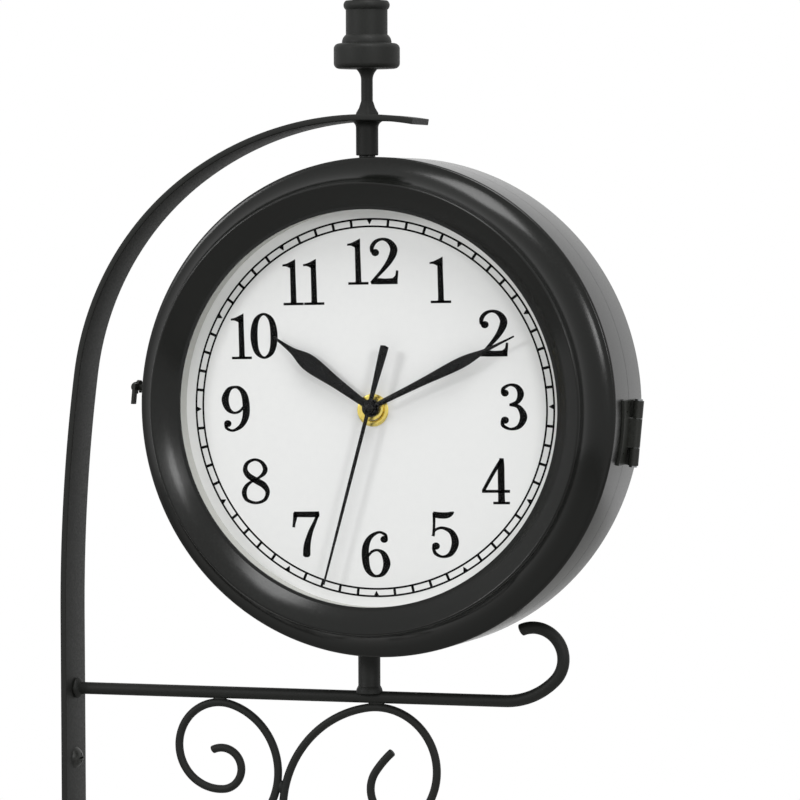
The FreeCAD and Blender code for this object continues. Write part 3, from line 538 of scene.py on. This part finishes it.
# ---------------------------------------------------------------- hoop and swivel pins
# A rolled hoop inside the seam carries the turned pins and centres the front half; a plain washer
# under the lower pin's collar takes the weight. Hoop and pins are coated like the case.
hoop_paint = grained("hoop_lacquer_anthracite", "#181917", "#383a37", 1.1, 0.4, 0.01, low_gloss)
dress(hoop_paint, "seam_hoop", "upper_pin", "lower_pin")
washer_steel = grained("plain_washer_steel", "#3a3b39", "#74777a", 0.6, 0.38, 0.01)
dress(washer_steel, "thrust_washer")

# ---------------------------------------------------------------- hinge and latch
# A butt hinge bent to the band on the right, its steel pin peened at both ends, and on the left a
# flat steel hook that swings on a riveted stud and drops over a ball on the front half. Leaves,
# studs and hook are painted; the paint is thin on their edges.
hinge_paint = grained("painted_hinge_steel", "#1d1e1b", "#4a4c48", 0.8, 0.42, 0.015, low_gloss)
dress(hinge_paint, "hinge_front_leaf", "hinge_rear_leaf", "latch_catch_stud",
      "latch_pivot_stud", "latch_hook")
pin_steel = grained("turned_steel", "#7d7f80", "#b4b6b8", 0.4, 0.28, 0.004, {"Metallic": 1.0})
dress(pin_steel, "hinge_pin", "front_minute_shaft", "rear_minute_shaft", "front_second_arbor",
      "rear_second_arbor")

# ---------------------------------------------------------------- glass and spacer
# A disc of 1.5 mm float glass lies behind the rim of each half, held by a white polystyrene
# spacer ring that keeps it off the dial.
glass, tree = new_material("float_glass")
# The photograph shows no reflection on the glass, so its index is lower than glass has
clear = add_node(tree, "ShaderNodeBsdfPrincipled",
                 {"Base Color": linear("#fbfdfc"), "Roughness": 0.0, "IOR": 1.12,
                  "Transmission Weight": 1.0})
passing = add_node(tree, "ShaderNodeBsdfTransparent")
rays = add_node(tree, "ShaderNodeLightPath")
pane = add_node(tree, "ShaderNodeMixShader", {0: rays.outputs["Is Camera Ray"],
                                              1: passing.outputs[0], 2: clear.outputs[0]})
add_node(tree, "ShaderNodeOutputMaterial", {"Surface": pane.outputs[0]})
# The white spacer is coloured grey: painted shade for its inner wall, which lies in the shadow of
# the rim
spacer_grey_painted_shade = grained("moulded_polystyrene_painted_shade", "#b6b6b1", "#c8c8c4", 3.0, 0.5, 0.01)
GLASS_R = 98.5
GLASS_FRONT = LIP_DEPTH - SHEET
GLASS_BACK = GLASS_FRONT - 1.5
ground = 0.3  # width of the ground edge
glass_profile = np.array([[0, GLASS_BACK], [GLASS_R - ground, GLASS_BACK],
                          [GLASS_R, GLASS_BACK + ground], [GLASS_R, GLASS_FRONT - ground],
                          [GLASS_R - ground, GLASS_FRONT], [0, GLASS_FRONT]])
for side, facing in sides.items():
    disc = make_piece(side + "_glass_dressed",
                      [(turned(glass_profile * [1, facing], HEAD, "Y", 192), False)], 30)
    fit(disc, glass, side_body[side], "glass", side + "_glass")
    dress(spacer_grey_painted_shade, side + "_spacer_ring")

# ---------------------------------------------------------------- dial
# A white coated aluminium sheet, 0.8 mm, screen printed in black: a minute track with a triangle
# at each hour, and upright numerals with thick stems, hairlines and ball ends. It sits on a
# pressed ring in the band. The places of the maker's words are left bare.
DIAL_FACE = 24.0
INK = 0.05  # height of the print over the sheet
INK_SPREAD = 0.012  # widening of each stroke, in heights of the numeral
dial_white = grained("coated_dial_sheet", "#eeeeee", "#f6f6f5", 4.0, 0.55, 0.004)
ink_black = grained("screen_print_ink", "#040404", "#0b0b0b", 0.7, 0.6, 0.003,
                    {"Specular IOR Level": 0.06})


def on_dial(right, up, depth, facing, turn=0.0):
    """Points of a dial as its reader sees it, right and up from its middle, turned clockwise."""
    angle = math.radians(turn)
    across = right * math.cos(angle) + up * math.sin(angle)
    rise = up * math.cos(angle) - right * math.sin(angle)
    return np.stack([HEAD_X - facing * across, facing * depth + 0 * across, HEAD_Z + rise],
                    axis=-1)


def smooth_curve(points, closed=False, count=7):
    """Catmull-Rom curve: between two points it is the cubic that leaves each along half the
    step between its neighbours."""
    points = np.array(points, float)
    if closed:
        run = np.concatenate([points[-1:], points, points[:2]])
    else:
        run = np.concatenate([2 * points[:1] - points[1:2], points,
                              2 * points[-1:] - points[-2:-1]])
    spans = len(run) - 3
    p, q, r, s = (run[at:at + spans, None] for at in range(4))
    t = np.linspace(0, 1, count, endpoint=False)[None, :, None]
    curve = (q + t * (r - p) / 2 + t ** 2 * (p - 2.5 * q + 2 * r - s / 2)
             + t ** 3 * (1.5 * (q - r) + (s - p) / 2)).reshape(-1, points.shape[1])
    return curve if closed else np.concatenate([curve, run[-2:-1]])


def stroke(points, closed=False):
    """Edges of a pen stroke: its line (x, y), moved half its width either way along the normal."""
    line = smooth_curve(points, closed)
    if closed:
        slope = np.roll(line, -1, axis=0) - np.roll(line, 1, axis=0)
    else:
        slope = np.gradient(line, axis=0)
    slope = slope[:, :2] / np.linalg.norm(slope[:, :2], axis=1)[:, None]
    side = np.stack([-slope[:, 1], slope[:, 0]], axis=-1) * (line[:, 2:] + INK_SPREAD) / 2
    return line[:, :2] + side, line[:, :2] - side, closed


def ball(x, y, radius):
    """Ball end of a stroke, as a stroke from its left to its right."""
    swing = np.radians(np.linspace(4, 176, 15))
    along = np.stack([x - radius * np.cos(swing), y + 0 * swing], axis=-1)
    half = np.stack([0 * swing, radius * np.sin(swing)], axis=-1)
    return along + half, along - half, False


def flag(upper, lower):
    """Wedge between two smooth edges."""
    return smooth_curve(upper), smooth_curve(lower), False


# Each numeral's strokes as (x, y, width), in heights of the numeral
SIX = [(0.505, 0.84, 0.03), (0.47, 0.93, 0.05), (0.34, 0.978, 0.045), (0.17, 0.87, 0.085),
       (0.078, 0.67, 0.125), (0.066, 0.42, 0.135), (0.10, 0.19, 0.115), (0.19, 0.055, 0.075),
       (0.30, 0.022, 0.045), (0.42, 0.085, 0.09), (0.495, 0.29, 0.135), (0.44, 0.50, 0.10),
       (0.32, 0.588, 0.045), (0.20, 0.555, 0.045), (0.125, 0.46, 0.03)]
NUMERALS = {
    "0": [stroke([(0.275, 0.978, 0.042), (0.12, 0.84, 0.10), (0.07, 0.50, 0.135),
                  (0.12, 0.16, 0.10), (0.275, 0.022, 0.042), (0.43, 0.16, 0.10),
                  (0.48, 0.50, 0.135), (0.43, 0.84, 0.10)], True)],
    "1": [stroke([(0.245, 0.02, 0.26), (0.245, 0.045, 0.16), (0.245, 0.08, 0.122),
                  (0.243, 0.30, 0.118), (0.237, 0.75, 0.112), (0.237, 0.86, 0.112)]),
          flag([(0.0, 0.887), (0.09, 0.905), (0.19, 0.948), (0.299, 1.0)],
               [(0.0, 0.845), (0.09, 0.842), (0.19, 0.80), (0.299, 0.80)]),
          stroke([(0.01, 0.022, 0.044), (0.25, 0.022, 0.044), (0.475, 0.022, 0.044)])],
    "2": [stroke([(0.045, 0.69, 0.05), (0.055, 0.82, 0.075), (0.135, 0.93, 0.065),
                  (0.27, 0.975, 0.05), (0.40, 0.92, 0.09), (0.483, 0.79, 0.13),
                  (0.475, 0.66, 0.135), (0.39, 0.48, 0.105), (0.25, 0.29, 0.07),
                  (0.11, 0.13, 0.05), (0.025, 0.03, 0.045)]), ball(0.115, 0.685, 0.078),
          stroke([(0.02, 0.02, 0.04), (0.13, 0.06, 0.12), (0.30, 0.056, 0.112),
                  (0.46, 0.06, 0.12), (0.555, 0.06, 0.12)]),
          stroke([(0.50, 0.09, 0.11), (0.535, 0.17, 0.05), (0.55, 0.29, 0.035)])],
    "3": [stroke([(0.06, 0.78, 0.04), (0.085, 0.90, 0.06), (0.22, 0.976, 0.045),
                  (0.36, 0.93, 0.085), (0.425, 0.78, 0.12), (0.36, 0.61, 0.08),
                  (0.20, 0.545, 0.035)]), ball(0.115, 0.80, 0.075),
          stroke([(0.20, 0.545, 0.035), (0.38, 0.50, 0.08), (0.475, 0.29, 0.135),
                  (0.39, 0.085, 0.09), (0.22, 0.023, 0.045), (0.07, 0.095, 0.06),
                  (0.045, 0.21, 0.04)]), ball(0.105, 0.215, 0.078)],
    "4": [stroke([(0.385, 0.02, 0.28), (0.385, 0.045, 0.17), (0.385, 0.08, 0.125),
                  (0.385, 0.50, 0.122), (0.388, 0.82, 0.118), (0.40, 0.99, 0.07)]),
          stroke([(0.40, 0.98, 0.04), (0.33, 0.85, 0.06), (0.18, 0.58, 0.06),
                  (0.03, 0.29, 0.055)]),
          stroke([(0.0, 0.275, 0.052), (0.28, 0.275, 0.052), (0.555, 0.275, 0.052)]),
          stroke([(0.22, 0.022, 0.044), (0.38, 0.022, 0.044), (0.55, 0.022, 0.044)])],
    "5": [stroke([(0.06, 0.98, 0.05), (0.058, 0.75, 0.042), (0.045, 0.52, 0.045),
                  (0.03, 0.47, 0.05)]),
          stroke([(0.04, 0.945, 0.115), (0.18, 0.922, 0.125), (0.32, 0.925, 0.12),
                  (0.41, 0.965, 0.075), (0.455, 1.0, 0.01)]),
          stroke([(0.05, 0.57, 0.03), (0.13, 0.635, 0.045), (0.25, 0.645, 0.055),
                  (0.41, 0.55, 0.10), (0.475, 0.33, 0.135), (0.39, 0.10, 0.095),
                  (0.23, 0.023, 0.045), (0.08, 0.09, 0.06), (0.03, 0.23, 0.045)]),
          ball(0.088, 0.255, 0.078)],
    "6": [stroke(SIX), ball(0.45, 0.825, 0.076)],
    "7": [stroke([(0.03, 0.94, 0.11), (0.20, 0.94, 0.112), (0.40, 0.94, 0.115),
                  (0.545, 0.945, 0.11)]),
          stroke([(0.055, 0.97, 0.07), (0.05, 0.86, 0.07), (0.03, 0.74, 0.048),
                  (0.02, 0.655, 0.045)]),
          stroke([(0.525, 0.96, 0.05), (0.455, 0.78, 0.06), (0.36, 0.55, 0.085),
                  (0.29, 0.28, 0.125), (0.275, 0.07, 0.14), (0.275, 0.025, 0.115),
                  (0.275, 0.0, 0.05)])],
    "8": [stroke([(0.27, 0.975, 0.048), (0.12, 0.90, 0.065), (0.075, 0.755, 0.085),
                  (0.14, 0.625, 0.11), (0.30, 0.51, 0.125), (0.45, 0.41, 0.12),
                  (0.525, 0.26, 0.08), (0.46, 0.09, 0.06), (0.28, 0.025, 0.05),
                  (0.10, 0.09, 0.065), (0.045, 0.24, 0.09), (0.09, 0.39, 0.07),
                  (0.21, 0.50, 0.045), (0.36, 0.585, 0.045), (0.46, 0.68, 0.08),
                  (0.482, 0.79, 0.085), (0.41, 0.92, 0.06)], True)],
    "9": [stroke([(0.56 - x, 1 - y, width) for x, y, width in SIX]), ball(0.11, 0.175, 0.076)],
}
NUMERAL_HEIGHT = 22.0
NUMERAL_REACH = 70.2
# Widths and steps in heights of the numeral; the round digits are wider than their strokes' table
DIGIT_PITCH = {"10": 0.455, "11": 0.48, "12": 0.51}
PAIR_SHIFT = 0.045
STRETCH = 1.14
ONE_WIDTH = 0.48
ROUND_WIDTH = 0.55 * STRETCH


def ink_ribbon(left, right, facing, turn, closed):
    """Thin closed ribbon of ink between two edges, from inside the sheet to the ink's height."""
    edges = (left, right, right, left)
    depths = (DIAL_FACE + INK, DIAL_FACE + INK, DIAL_FACE - INK, DIAL_FACE - INK)
    rows = np.stack([on_dial(edge[:, 0], edge[:, 1], depth, facing, turn)
                     for edge, depth in zip(edges, depths)], axis=1)
    return rows, closed


def numeral_ribbons(facing, turn):
    """Ribbons of the twelve numerals, upright about points on a circle."""
    ribbons = []
    for hour in range(1, 13):
        word = str(hour)
        pitch = DIGIT_PITCH.get(word, 0.0)
        middle = NUMERAL_REACH * unit(90 - 30 * hour)
        width = pitch + (ONE_WIDTH if word[-1] == "1" else ROUND_WIDTH)
        start = (PAIR_SHIFT if pitch else 0.0) - width / 2
        for place, digit in enumerate(word):
            shift = np.array([start + place * pitch, -0.5])
            stretch = [1.0 if digit == "1" else STRETCH, 1.0]
            for left, right, closed in NUMERALS[digit]:
                ribbons.append(ink_ribbon(middle + NUMERAL_HEIGHT * (left * stretch + shift),
                                          middle + NUMERAL_HEIGHT * (right * stretch + shift),
                                          facing, turn, closed))
    return ribbons


TRACK_RINGS = ((86.4, 87.3), (89.95, 90.85))
# Distances from the middle along a bar and a triangle, and their half widths there
TRACK_BAR = np.array([[[87.0], [88.7], [90.4]], [[0.65], [0.65], [0.65]]])
TRACK_TRIANGLE = np.array([[[87.9], [89.2], [90.4]], [[0.15], [0.8], [1.4]]])


def track_ribbons(facing, turn):
    """Minute track: two rings, and between them a bar at each minute or a triangle at the hours."""
    ribbons = []
    around = unit(np.arange(0, 360, 1.25))
    for inner, outer in TRACK_RINGS:
        ribbons.append(ink_ribbon(inner * around, outer * around, facing, turn, True))
    for minute in range(60):
        ray = unit(90 - 6 * minute)
        side = np.array([-ray[1], ray[0]])
        reach, half = TRACK_BAR if minute % 5 else TRACK_TRIANGLE
        ribbons.append(ink_ribbon(reach * ray + half * side, reach * ray - half * side,
                                  facing, turn, False))
    return ribbons


DIAL_BACK = DIAL_FACE - 0.8
DIAL_BORE = 4.3
DIAL_R = 112.0
dial_profile = np.array([[DIAL_BORE, DIAL_BACK], [DIAL_R, DIAL_BACK], [DIAL_R, DIAL_FACE],
                         [DIAL_BORE, DIAL_FACE]])
# The photograph shows the front dial seated a touch anticlockwise
dial_turn = {"front": -0.9, "rear": 0.0}
for side, facing in sides.items():
    body = side_body[side]
    dial = make_piece(side + "_dial_dressed",
                      [(turned(dial_profile * [1, facing], HEAD, "Y", 192), True)])
    fit(dial, dial_white, body, "dial_white", side + "_dial")
    numerals = make_piece(side + "_numerals", numeral_ribbons(facing, dial_turn[side]))
    fit(numerals, ink_black, body, "hand_black")
    track = make_piece(side + "_minute_track", track_ribbons(facing, dial_turn[side]))
    fit(track, ink_black, body, "hand_black")
    dress(hoop_paint, side + "_dial_ring")

# ---------------------------------------------------------------- movement
# A quartz movement in a black ABS housing, with its cell in a trough between nickel plated
# contacts and a rubber gasket under the dial. A brass bush and nut hold it through the dial, and
# a loose dished brass washer hangs on the bush. The gripped knob behind sets the hands.
housing_plastic = grained("moulded_abs_black", "#191a1b", "#2e3031", 0.5, 0.45, 0.02)
knob_plastic = grained("moulded_abs_grey", "#4a4c4e", "#62656a", 0.6, 0.42, 0.02)
tube_plastic = grained("acetal_black", "#1b1b1c", "#2b2c2e", 0.8, 0.3, 0.005)
rubber = grained("rubber_black", "#151515", "#242424", 0.6, 0.8, 0.03)
nickel = grained("nickel_plated_contact", "#a5a69f", "#d0d1cc", 0.5, 0.25, 0.003,
                 {"Metallic": 1.0})
# A zinc carbon cell has a glossy film jacket: mostly grey, with a copper band at the nub end
COPPER_EDGE = HEAD_X - 12
cell_jacket, tree = new_material("printed_cell_jacket")
spot = add_node(tree, "ShaderNodeTexCoord").outputs["Object"]
axes = add_node(tree, "ShaderNodeSeparateXYZ", {"Vector": spot})
banded = add_node(tree, "ShaderNodeMath", {0: axes.outputs["X"], 1: COPPER_EDGE / 1000},
                  operation="LESS_THAN")
jacket_tint = add_node(tree, "ShaderNodeMix", {0: banded.outputs[0], 6: linear("#3c4044"),
                                               7: linear("#a9683a")}, data_type="RGBA")
film = add_node(tree, "ShaderNodeBsdfPrincipled", {"Base Color": jacket_tint.outputs[2],
                                                   "Roughness": 0.25})
add_node(tree, "ShaderNodeOutputMaterial", {"Surface": film.outputs[0]})


def brass(name, length):
    """Turned brass: metallic yellow whose turning marks are rings about the dial's axis.

    The wave texture's phase runs 20 radians to its unit, and here one radian to the length in mm,
    so the marks stand 2 pi times the length apart.
    """
    material, tree = new_material(name)
    place = add_node(tree, "ShaderNodeTexCoord").outputs["Object"]
    centred = add_node(tree, "ShaderNodeMapping",
                       {"Vector": place, "Location": (-HEAD_X / 1000, 0, -HEAD_Z / 1000)})
    marks = add_node(tree, "ShaderNodeTexWave",
                     {"Vector": centred.outputs[0], "Scale": 1000 / length / 20,
                      "Distortion": 0.4, "Detail": 1.0},
                     wave_type="RINGS", rings_direction="Y")
    haze = add_node(tree, "ShaderNodeTexNoise", {"Vector": place, "Scale": 700.0})
    tint = add_node(tree, "ShaderNodeMix", {0: haze.outputs["Fac"], 6: linear("#d2b650"),
                                            7: linear("#eedc86")}, data_type="RGBA")
    lift = add_node(tree, "ShaderNodeBump", {"Height": marks.outputs["Fac"], "Strength": 0.35,
                                             "Distance": 0.00003})
    skin = add_node(tree, "ShaderNodeBsdfPrincipled",
                    {"Base Color": tint.outputs[2], "Normal": lift.outputs[0], "Metallic": 1.0,
                     "Roughness": 0.24})
    add_node(tree, "ShaderNodeOutputMaterial", {"Surface": skin.outputs[0]})
    return material


turned_brass = brass("turned_brass", 0.5)
dish_profile = np.array([[5.1, 24.0], [7.6, 24.0], [7.85, 24.25], [7.8, 24.5], [7.3, 24.75],
                         [6.2, 24.8], [5.4, 24.7], [5.1, 24.5]])
DISH_DROP = 1.1  # the loose washer hangs below the axis
for side, facing in sides.items():
    dress(housing_plastic, side + "_movement")
    dress(cell_jacket, side + "_battery")
    dress(nickel, side + "_battery_contacts")
    dress(rubber, side + "_gasket")
    dress(turned_brass, side + "_bush", side + "_nut")
    dress(knob_plastic, side + "_setting_knob")
    dress(tube_plastic, side + "_hour_tube")
    dish = make_piece(side + "_washer_dressed", [(turned(dish_profile * [1, facing], (
        HEAD_X, 0, HEAD_Z - DISH_DROP), "Y", 96), True)])
    fit(dish, turned_brass, side_body[side], "washer_brass", side + "_washer")

# ---------------------------------------------------------------- hands
# Hour and minute hand are stamped aluminium leaves, creased along the middle and lacquered gloss
# black on a round hub; the second hand is a straight needle with a widening tail under a domed
# cap. Each is pressed on its own tube of the movement.
hand_lacquer = grained("gloss_black_lacquer", "#050506", "#0f1011", 1.2, 0.24, 0.004,
                       {"Specular IOR Level": 0.2})


def leaf_rows(widths, back, front, edge, facing, reading):
    """Grid of a hand: across each station along it a five sided section, its face falling both
    ways from the crease, turned clockwise to its reading."""
    line = smooth_curve(widths, count=12)
    along, half = line[:, 0], line[:, 1]
    corners = [(-1, back), (1, back), (1, edge), (0, front), (-1, edge)]
    return np.stack([on_dial(share * half, along, depth, facing, reading)
                     for share, depth in corners], axis=1)


def hub(outer, inner, back, front):
    """Ring shaped hub with eased edges."""
    return np.array([[inner, back], [outer, back], [outer, front - 0.25], [outer - 0.25, front],
                     [inner, front]])


def reading_rows(profile, facing):
    """Grid of a round turned about the dial's axis."""
    return turned(profile * [1, facing], HEAD, "Y", 64)


# What the photograph's hands show, in degrees clockwise from twelve
HOUR_READING = 304.5
MINUTE_READING = 64.3
SECOND_READING = 195.3
for side, facing in sides.items():
    hour = leaf_rows([(3.0, 1.7), (20.4, 2.7), (37.8, 4.1), (48.6, 1.5), (60.0, 0.4)], 27.85,
                     28.35, 28.1, facing, HOUR_READING)
    hour_hand = make_piece(side + "_hour_hand_dressed", [
        (hour, False), (reading_rows(hub(4.3, 2.5, 27.4, 28.8), facing), True)], 12)
    fit(hour_hand, hand_lacquer, side + "_hour", "hand_black", side + "_hour_hand")
    minute = leaf_rows([(2.2, 1.15), (27.2, 1.75), (50.4, 2.7), (64.8, 0.95), (80.0, 0.4)], 29.55,
                       30.05, 29.8, facing, MINUTE_READING)
    minute_hand = make_piece(side + "_minute_hand_dressed", [
        (minute, False), (reading_rows(hub(3.2, 1.7, 29.2, 30.4), facing), True)], 12)
    fit(minute_hand, hand_lacquer, side + "_minute", "hand_black", side + "_minute_hand")
    needle = leaf_rows([(0.0, 0.95), (44.0, 0.8), (88.0, 0.5)], 31.1, 31.5, 31.45, facing,
                       SECOND_READING)
    tail = leaf_rows([(0.0, 0.9), (13.0, 1.4), (29.2, 2.1), (30.6, 1.5), (31.2, 0.5)], 31.1, 31.5,
                     31.45, facing, SECOND_READING - 180)
    cap = np.concatenate([[[0.0, 30.8], [2.4, 30.8]], arc((2.4, 31.8), (1.25, 32.32), (0, 32.5))])
    second_hand = make_piece(side + "_second_hand_dressed", [
        (needle, False), (tail, False), (reading_rows(cap, facing), False)], 12)
    fit(second_hand, hand_lacquer, side + "_second", "hand_black", side + "_second_hand")

# ---------------------------------------------------------------- studio
# A wide pale floor below the clock, soft lamps on both sides and above, and white all round as
# the camera, metal and glass see it.
floor_paint = grained("studio_floor_paint", "#dededc", "#ececea", 60.0, 0.8, 0.02)
FLOOR_R = 3000.0
FLOOR_Z = -500.0
circle = FLOOR_R * unit(np.linspace(0, 360, 128, endpoint=False))
floor_ring = np.stack([circle[:, 0] + HEAD_X, circle[:, 1], 0 * circle[:, 0] + FLOOR_Z], axis=-1)
floor = make_piece("studio_floor", [(np.stack([floor_ring, floor_ring - [0, 0, 10]]), False)])
floor.data.materials.append(floor_paint)

world = bpy.data.worlds.new("studio_white")
world.use_nodes = True
bpy.context.scene.world = world
world.node_tree.nodes.clear()
rays = add_node(world.node_tree, "ShaderNodeLightPath")
seen = add_node(world.node_tree, "ShaderNodeMath", {0: rays.outputs["Is Camera Ray"],
                                                    1: rays.outputs["Is Glossy Ray"]},
                operation="MAXIMUM")
seen = add_node(world.node_tree, "ShaderNodeMath", {0: seen.outputs[0],
                                                    1: rays.outputs["Is Transmission Ray"]},
                operation="MAXIMUM")
level = add_node(world.node_tree, "ShaderNodeMapRange", {"Value": seen.outputs[0],
                                                         "To Min": 0.4, "To Max": 1.0})
sky = add_node(world.node_tree, "ShaderNodeBackground", {"Color": (1, 1, 1, 1),
                                                         "Strength": level.outputs[0]})
add_node(world.node_tree, "ShaderNodeOutputWorld", {"Surface": sky.outputs[0]})

aim = Vector(HEAD) / 1000
# Place and side of each square lamp in metres, and its power in watts
lamps = {"lamp_right": ((1.6, -1.5, 0.9), 0.45, 8.5), "lamp_left": ((-1.2, -1.5, 1.0), 0.45, 11.0),
         "lamp_above": ((0.6, -0.7, 2.1), 0.9, 24.0)}
for lamp_name, (place, size, power) in lamps.items():
    light = bpy.data.lights.new(lamp_name, "AREA")
    light.size = size
    light.energy = power
    lamp = bpy.data.objects.new(lamp_name, light)
    bpy.context.scene.collection.objects.link(lamp)
    lamp.location = place
    lamp.rotation_euler = (aim - Vector(place)).to_track_quat("-Z", "Y").to_euler()

bpy.context.scene.view_settings.view_transform = "Standard"

# ---------------------------------------------------------------- camera
# A long lens from the right of the front dial and a little above it, as the photograph was taken.
camera = bpy.data.objects.new("camera", bpy.data.cameras.new("camera"))
bpy.context.scene.collection.objects.link(camera)
camera.data.sensor_width = 36.0
camera.data.lens = 202.5
camera.location = (0.8587, -2.0642, 0.3801)
looking = Vector((-0.3149, 0.9483, -0.0394)).to_track_quat("-Z", "Y")
roll = Matrix.Rotation(math.radians(-0.22), 3, "Z")
camera.rotation_euler = (looking.to_matrix() @ roll).to_euler()
bpy.context.scene.camera = camera
